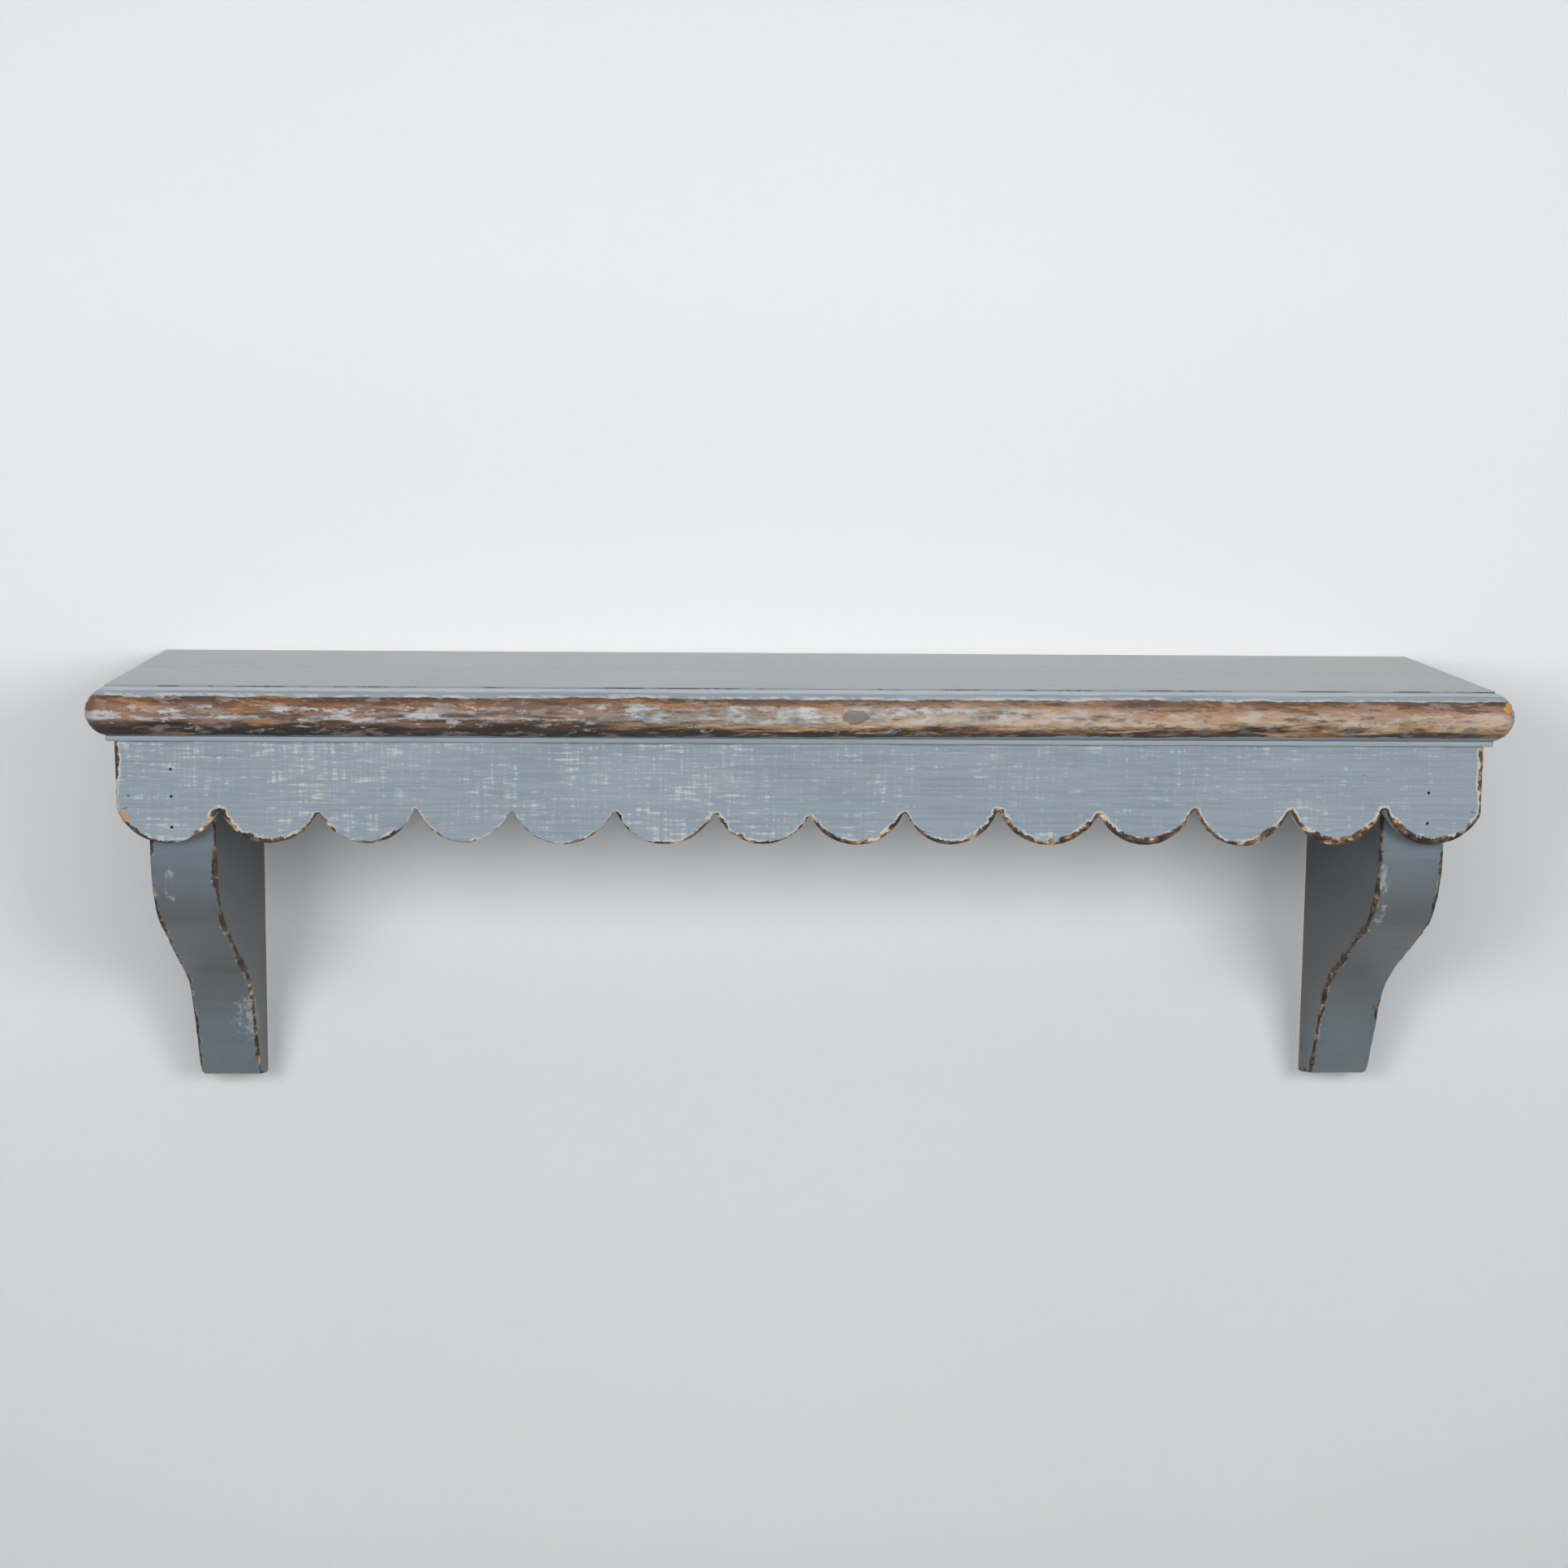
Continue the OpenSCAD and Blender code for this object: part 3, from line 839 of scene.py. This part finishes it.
    # Painted reflection: the flat top face is painted a paler, neutral grey, standing in for the white
    # wall reflected in it.
    paint = m.over(paint, srgb(163, 168, 169), m.step(turn, 1.1, 1.2), 0.85)
    lip = m.band(m.add(turn, ragged), 0.76, 0.88, 0.03)
    paint = m.over(paint, UNDERCOAT, lip, m.step(tone, 0.42, 0.56), 0.5)
    paint = m.flecks(paint, UNDERCOAT, (150, 300, 300), 16.0, 0.64, 0.68, m.times(rim, 0.8))
    colour = m.mix(cover, wood, paint)
    colour = m.over(colour, srgb(206, 150, 84), corner_chip, 0.9)

    # A broken dark line is painted along the step, a painted shadow under the nose, and the dark seam
    # between the planks.
    in_step = m.times(m.step(turn, 1.02, 1.05), m.step(turn, 1.17, 1.12))
    broken = m.step(m.noise((30, 8, 8), 17.0, 4, 0.7), 0.46, 0.56)
    colour = m.over(colour, srgb(58, 56, 56), in_step, broken, 0.8)
    # Painted shadow: a dark slate line under the nose, where it turns down over the fillet.
    under_nose_shadow = m.times(m.step(turn, -0.97, -1.02), m.step(turn, -1.1, -1.06))
    colour = m.over(colour, srgb(50, 54, 60), under_nose_shadow, 0.7)
    off_seam = m.math("ABSOLUTE", m.add(y, GLUE_Y * MM))
    seam = m.step(off_seam, 0.4 * MM, 0.9 * MM, 0.5, 0.0)
    colour = m.mix(seam, colour, srgb(84, 98, 108))
    colour = raw_back(m, colour, (22, 200, 200))

    bare = m.without(cover)
    height = m.add(m.times(cover, 0.35), m.times(streaks, 0.25))
    height = m.add(height, m.times(coarse, bare, 0.9))
    height = m.add(height, m.times(blobs, bare, 0.25))
    m.relief(height, 0.5 * MM, 0.7)
    roughness = m.add(m.line(cover, 0.0, 1.0, 0.55, 0.42), m.swing(clouds, 0.15))
    return m.finish(colour, roughness, Specular_IOR_Level=0.5)


def sawn_wood(m, stretch, seed, dirt):
    """Dark, dirty wood for a worn or sawn edge, with pale flecks of fresher wood."""
    grain = m.noise(stretch, seed, 4, 0.65)
    patches = m.noise((80, 80, 80), seed + 1, 3, 0.6)
    tone = m.add(m.times(grain, 2.0), m.times(patches, 1.9))
    return m.ramp(m.add(tone, dirt), EDGE_WOOD)


def apron_paint():
    """Brushed blue-grey paint with whitish dry-brush dabs, gone from the sawn edge."""
    m = Finish("apron_paint")
    x, z = m.xyz["X"], m.xyz["Z"]
    worn = m.mark("worn")
    streaks = m.noise((14, 60, 480), 21.0, 4, 0.62)
    long_streaks = m.noise((4, 40, 170), 22.0, 3)
    clouds = m.noise((11, 11, 22), 23.0, 2)
    paint = m.mix(m.step(streaks, 0.28, 0.72), srgb(122, 138, 149), srgb(142, 155, 165))
    paint = m.over(paint, srgb(134, 152, 165), m.step(long_streaks, 0.35, 0.7), 0.3)
    paint = m.over(paint, srgb(156, 165, 172), m.step(clouds, 0.4, 0.75), 0.3)

    # Dabs where long level strokes cross short upright ones.
    level_strokes = m.noise((55, 60, 460), 25.0, 3, 0.6)
    upright_strokes = m.noise((330, 60, 34), 26.0, 3, 0.6)
    crowd = m.noise((16, 20, 34), 27.0, 3, 0.6)
    leftward = m.step(x, 0.3, -0.25)
    near_top = m.step(z, 0.022, 0.034)
    weight = m.add(m.times(crowd, 0.28), m.times(leftward, 0.035))
    weight = m.add(weight, m.times(near_top, 0.03))
    crossing = m.add(m.times(level_strokes, 0.6), m.times(upright_strokes, 0.4))
    crossing = m.add(crossing, weight)
    dabs = m.step(crossing, 0.72, 0.82)
    paint = m.over(paint, srgb(168, 175, 180), m.step(crossing, 0.64, 0.76), 0.25)
    paint = m.over(paint, srgb(204, 205, 205), dabs, 0.6)
    top_line = m.step(z, 0.0335, 0.0352)
    broken = m.step(m.noise((26, 10, 300), 29.0, 3), 0.42, 0.58)
    paint = m.over(paint, srgb(196, 199, 201), top_line, broken, 0.5)

    # Bare wood along the arris, with undercoat left on the paint's ragged edge.
    ragged = m.noise((230, 230, 230), 31.0, 4, 0.68)
    frayed = m.noise((60, 60, 60), 32.0, 3)
    wear = m.add(m.add(worn, m.swing(ragged, 2.2)), m.swing(frayed, 2.4))
    sound = m.step(m.noise((24, 24, 24), 32.5, 3), 0.48, 0.58)
    wear = m.add(wear, m.times(sound, leftward, 0.9))
    bare = m.step(wear, 1.0, 0.88)
    crust = m.most(m.noise((100, 100, 100), 34.0, 3), m.times(m.step(z, -0.022, -0.012), 0.56))
    colour = m.over(paint, srgb(206, 200, 188), m.step(wear, 1.7, 1.1), m.step(crust, 0.46, 0.56), 0.75)
    colour = m.mix(bare, colour, sawn_wood(m, (220, 220, 260), 35.0, -1.47))

    # A rubbed patch and a dark chip on the left end.
    patch = m.spot((-435.5, -217, -13), (4, 6, 7), 1.8, 33.0)
    colour = m.over(colour, srgb(182, 136, 92), patch, 0.85)
    chip = m.spot((-435, -217, -20), (3.5, 6, 4), 1.6, 36.0)
    colour = m.over(colour, srgb(60, 48, 40), chip, 0.9)

    painted = m.without(bare)
    height = m.add(m.times(streaks, 0.4), m.times(dabs, 0.4))
    height = m.add(m.times(height, painted), m.times(painted, 0.6))
    height = m.add(height, m.times(ragged, bare, 0.9))
    m.relief(height, 0.4 * MM, 0.6)
    return m.finish(colour, m.line(bare, 0.0, 1.0, 0.5, 0.7), Specular_IOR_Level=0.4)


# Pale scuffs and dark chips on the brackets, each a centre and a reach in millimetres.
SCUFFS = [
    ((-411, -200, -66), (3.5, 12, 15)),
    ((-383, -60, -185), (12, 20, 18)),
    ((384, -198, -60), (3.5, 14, 12)),
    ((386, -185, -85), (3.0, 14, 10)),
]
CHIPS = [
    ((-381, -199, -61), (3.5, 6, 4)),
    ((377, -199, -38), (3.5, 6, 4)),
    ((417, -72, -176), (4, 10, 10)),
]


def bracket_paint():
    """The same paint, painted a little darker as shade under the board, and glossier, rubbed off the
    brackets' arrises.
    """
    m = Finish("bracket_paint")
    x, z = m.xyz["X"], m.xyz["Z"]
    worn, inside = m.mark("worn"), m.mark("inside")
    strokes = m.noise((16, 60, 240), 41.0, 3, 0.55)
    clouds = m.noise((26, 26, 20), 42.0, 3)
    paint = m.mix(m.step(strokes, 0.25, 0.75), srgb(99, 114, 123), srgb(106, 119, 128))
    paint = m.over(paint, srgb(118, 124, 127), m.step(clouds, 0.4, 0.7), 0.35)

    # Painted shade: the fronts are darker and browner where they turn under, the inner faces darker
    # near the board.
    paint = m.over(paint, srgb(87, 90, 89), m.step(z, -0.04, -0.095), m.step(z, -0.205, -0.125), 0.8)
    upper = m.step(z, -0.16, -0.06)
    paint = m.shade(paint, m.add(1.0, m.times(inside, m.add(-0.38, m.times(upper, -0.2)))))

    dabs = m.step(m.noise((150, 150, 60), 44.0, 4, 0.68), 0.42, 0.6)
    for centre, reach in SCUFFS:
        scuff = m.spot(centre, reach, 1.2, 45.0 + centre[2])
        paint = m.over(paint, srgb(192, 196, 198), scuff, dabs, 0.45)

    ragged = m.noise((230, 230, 230), 47.0, 4, 0.68)
    frayed = m.noise((50, 50, 50), 48.0, 3)
    wear = m.add(m.add(worn, m.swing(ragged, 1.4)), m.swing(frayed, 1.9))
    # The outer arris is sound in places.
    outer_half = m.step(m.math("ABSOLUTE", x), 0.403, 0.411)
    sound = m.step(m.noise((17, 17, 17), 48.5, 3), 0.48, 0.56)
    wear = m.add(wear, m.times(outer_half, sound, 1.3))
    bare = m.step(wear, 1.0, 0.86)
    crust = m.step(m.noise((110, 110, 110), 49.0, 3), 0.54, 0.64)
    halo = m.times(m.step(wear, 1.5, 1.15), crust, m.without(inside))
    colour = m.over(paint, srgb(186, 180, 170), halo, 0.55)
    colour = m.mix(bare, colour, sawn_wood(m, (200, 200, 200), 50.0, -1.6))
    for centre, reach in CHIPS:
        chip = m.spot(centre, reach, 1.5, 51.0 + centre[2])
        colour = m.over(colour, srgb(56, 46, 38), chip, 0.9)
    colour = raw_back(m, colour, (200, 200, 22))

    height = m.add(m.times(strokes, 0.2), m.times(m.without(bare), 0.6))
    height = m.add(height, m.times(ragged, bare, 0.9))
    m.relief(height, 0.4 * MM, 0.5)
    return m.finish(colour, m.line(bare, 0.0, 1.0, 0.42, 0.7), Specular_IOR_Level=0.5)


def bare_wood(name, light, dark, stretch):
    """Unpainted wood, whose grain runs along the axis with the fewest features."""
    m = Finish(name)
    grain = m.noise(stretch, 61.0, 5, 0.6)
    pores = m.noise(tuple(value * 3 for value in stretch), 62.0, 3, 0.6)
    tone = m.add(m.times(grain, 0.7), m.times(pores, 0.3))
    colour = m.mix(m.step(tone, 0.35, 0.68), light, dark)
    m.relief(tone, 0.3 * MM, 0.5)
    return m.finish(colour, m.step(tone, 0.3, 0.7, 0.55, 0.75))


def steel(name, light, dark, metallic, roughness):
    """Plated or blued steel, dulled and spotted by age."""
    m = Finish(name)
    scratches = m.noise((900, 900, 120), 71.0, 3, 0.6)
    spots = m.noise((260, 260, 260), 72.0, 4, 0.6)
    tone = m.add(m.times(scratches, 0.4), m.times(spots, 0.6))
    colour = m.mix(m.step(tone, 0.4, 0.62), light, dark)
    m.relief(tone, 0.05 * MM, 0.4)
    dull = m.step(spots, 0.3, 0.7, roughness, roughness + 0.25)
    return m.finish(colour, dull, Metallic=metallic)


# The stage, in metres. Its surfaces aren't felt by rays that start this close to them.
STAGE_REACH = 4.0
WALL_Y = 0.0005
FLOOR_Z, ROOF_Z = -1.2, 3.0
FLOOR_FRONT = -2.6
FLOOR_GLOW = 0.45
TOUCHING = 0.0015

# Painted shade on the wall: how bright its colour is painted at shares of the height between these two.
SHADED_LOW, SHADED_HIGH = -0.7, 0.6
WALL_SHADES = [(0.0, 0.9), (0.1, 0.93), (0.42, 0.94), (0.6, 1.0), (0.8, 1.0), (1.0, 0.95)]


def plain_stage(name, colour, glow=0.0):
    """A matt stage surface, seen and felt only from its front and only past a touching gap.

    glow lifts how bright it looks without letting it light anything."""
    m = Finish(name)
    m.finish(colour, 0.9, Specular_IOR_Level=0.1, Emission_Color=colour)
    rays = m.node("LightPath", {}).outputs
    # Painted shade: the colour is darker towards the bottom of the wall, and a little at its top.
    amount = m.ramp(m.line(m.xyz["Z"], SHADED_LOW, SHADED_HIGH), WALL_SHADES)
    mottle = m.add(0.99, m.times(m.noise((4, 4, 4), 81.0, 3), 0.02))
    m.relief(m.noise((60, 60, 60), 82.0, 3), 0.2 * MM, 0.15)
    shaded = m.shade(m.shade(colour[:3], amount), mottle)
    m.feed(m.shader, {"Base Color": shaded, "Emission Strength": m.times(rays["Is Camera Ray"], glow)})
    behind = m.node("NewGeometry", {}).outputs["Backfacing"]
    near = m.math("LESS_THAN", rays["Ray Length"], TOUCHING)
    clear = m.node("BsdfTransparent", {}).outputs[0]
    blend = m.node("MixShader", {0: m.most(behind, near), 1: m.shader.outputs[0], 2: clear})
    m.feed(m.tree.nodes["Material Output"], {"Surface": blend.outputs[0]})
    return m.material


# ---- stage


def add_surface(name, corners, material):
    """A flat stage surface whose front is the side its corners run round anticlockwise."""
    mesh = bpy.data.meshes.new(name)
    mesh.from_pydata(corners, [], [(0, 1, 2, 3)])
    mesh.materials.append(material)
    surface = bpy.data.objects.new(name, mesh)
    bpy.context.scene.collection.objects.link(surface)


def add_stage():
    """A wall that stands just clear of the shelf's back, and a floor below the shelf."""
    left, right = -STAGE_REACH, STAGE_REACH
    corners = [(left, FLOOR_Z), (right, FLOOR_Z), (right, ROOF_Z), (left, ROOF_Z)]
    wall_white = plain_stage("wall_white", srgb(238, 239, 240))
    add_surface("wall", [(x, WALL_Y, z) for x, z in corners], wall_white)
    corners = [(left, WALL_Y), (left, FLOOR_FRONT), (right, FLOOR_FRONT), (right, WALL_Y)]
    floor_pale = plain_stage("floor_pale", srgb(226, 226, 224), FLOOR_GLOW)
    add_surface("floor", [(x, y, FLOOR_Z) for x, y in corners], floor_pale)


# Where the camera stands in metres, its lens in millimetres, and its yaw, pitch and roll.
CAMERA_AT = (-0.09298, -1.99379, 0.27240)
CAMERA_LENS = 64.204
CAMERA_TURNS = (("Z", -0.04432), ("X", -0.14685), ("Y", -0.01017))


def add_camera():
    """The camera stands a little above the shelf and to its left."""
    data = bpy.data.cameras.new("camera")
    data.sensor_width = 36.0
    data.lens = CAMERA_LENS
    data.clip_start = 0.05
    camera = bpy.data.objects.new("camera", data)
    turn = Matrix.Identity(3)
    for axis, angle in CAMERA_TURNS:
        turn = turn @ Matrix.Rotation(angle, 3, axis)
    right, ahead, up = turn.col
    basis = Matrix((right, up, -ahead)).transposed()
    camera.matrix_world = Matrix.Translation(CAMERA_AT) @ basis.to_4x4()
    bpy.context.scene.collection.objects.link(camera)
    bpy.context.scene.camera = camera


# Each lamp's azimuth and elevation in degrees, distance, width and height in metres, and watts.
LAMPS = {
    "lamp_left": (-27, 11, 2.2, 0.7, 0.7, 16.8),
    "lamp_right": (27, 11, 2.2, 0.7, 0.7, 16.0),
    "lamp_front": (0, 11, 1.8, 0.8, 0.6, 4.1),
    "lamp_high": (0, 62, 2.6, 3.0, 2.0, 14.7),
    "lamp_above": (0, 78, 2.2, 2.6, 1.0, 6.6),
}


def add_softbox(name, azimuth, elevation, distance, width, height, power):
    """A large lamp facing the shelf from an azimuth (0 is square in front, 90 on the right)."""
    data = bpy.data.lights.new(name, "AREA")
    data.shape = "RECTANGLE"
    data.size, data.size_y = width, height
    data.energy = power
    lamp = bpy.data.objects.new(name, data)
    a, e = math.radians(azimuth), math.radians(elevation)
    away = Vector((math.sin(a) * math.cos(e), -math.cos(a) * math.cos(e), math.sin(e)))
    lamp.location = away * distance
    lamp.rotation_euler = away.to_track_quat("Z", "Y").to_euler()
    lamp.visible_camera = False
    bpy.context.scene.collection.objects.link(lamp)


# How bright the surround is as light from the front and back, and as a backdrop.
SKY_FRONT = 0.03
SKY_BACK = 0.75
SKY_SEEN = 0.8


def add_sky():
    """A pale surround, which lights the back of the shelf far more than its front."""
    world = bpy.data.worlds.new("world")
    world.use_nodes = True
    sky = Nodes(world.node_tree)
    direction = sky.node("TexCoord", {}).outputs["Generated"]
    backward = sky.node("SeparateXYZ", {"Vector": direction}).outputs["Y"]
    light = sky.line(backward, 0.0, 0.3, SKY_FRONT, SKY_BACK)
    seen = sky.node("LightPath", {}).outputs["Is Camera Ray"]
    strength = sky.node("Mix", {0: seen, 2: light, 3: SKY_SEEN}).outputs[0]
    sky.feed(sky.tree.nodes["Background"], {"Color": (1.0, 1.0, 1.0, 1.0), "Strength": strength})
    bpy.context.scene.world = world


# ---- build


def stand_for(piece, node, material):
    """Puts a detailed piece in a CAD node's place."""
    piece.data.materials.clear()
    piece.data.materials.append(material)
    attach(piece, "root")
    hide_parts(node)


def keep(node, material, ease=0.0):
    """Gives a CAD node its finish, and eases its edges by so many millimetres."""
    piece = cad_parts[node]
    for slot in piece.material_slots:
        slot.material = material
    if not piece.material_slots:
        piece.data.materials.append(material)
    if ease:
        bevel = piece.modifiers.new("eased", "BEVEL")
        bevel.width = ease * MM
        bevel.segments = 2
        bevel.limit_method = "ANGLE"


add_camera()
add_stage()
for lamp_name, lamp_settings in LAMPS.items():
    add_softbox(lamp_name, *lamp_settings)
add_sky()
bpy.context.scene.view_settings.view_transform = "Standard"

board_finish = board_paint()
bracket_finish = bracket_paint()
stand_for(plank("front_plank_moulded", front_plan, 101), "front_plank", board_finish)
stand_for(plank("rear_plank_moulded", rear_plan, 131), "rear_plank", board_finish)
stand_for(apron(), "scalloped_apron", apron_paint())
stand_for(bracket("bracket_left_shaped", LEFT, 201), "bracket_left", bracket_finish)
stand_for(bracket("bracket_right_shaped", RIGHT, 231), "bracket_right", bracket_finish)

beech = bare_wood("beech", srgb(206, 172, 130), srgb(170, 130, 88), (500, 500, 30))
pine = bare_wood("bare_pine", srgb(208, 176, 128), srgb(168, 124, 78), (25, 320, 320))
dark_steel = steel("dark_steel", srgb(58, 54, 50), srgb(28, 24, 22), 0.8, 0.45)
plate_steel = steel("plate_steel", srgb(176, 172, 160), srgb(138, 132, 118), 1.0, 0.32)
screw_steel = steel("screw_steel", srgb(196, 186, 150), srgb(150, 138, 104), 1.0, 0.28)
keep("glue_blocks", pine, 1.0)
for end in ("left", "right"):
    keep("dowels_" + end, beech, 0.6)
    keep("pins_" + end, dark_steel)
    keep("keyhole_plate_" + end, plate_steel, 0.15)
    keep("plate_screws_" + end, screw_steel)
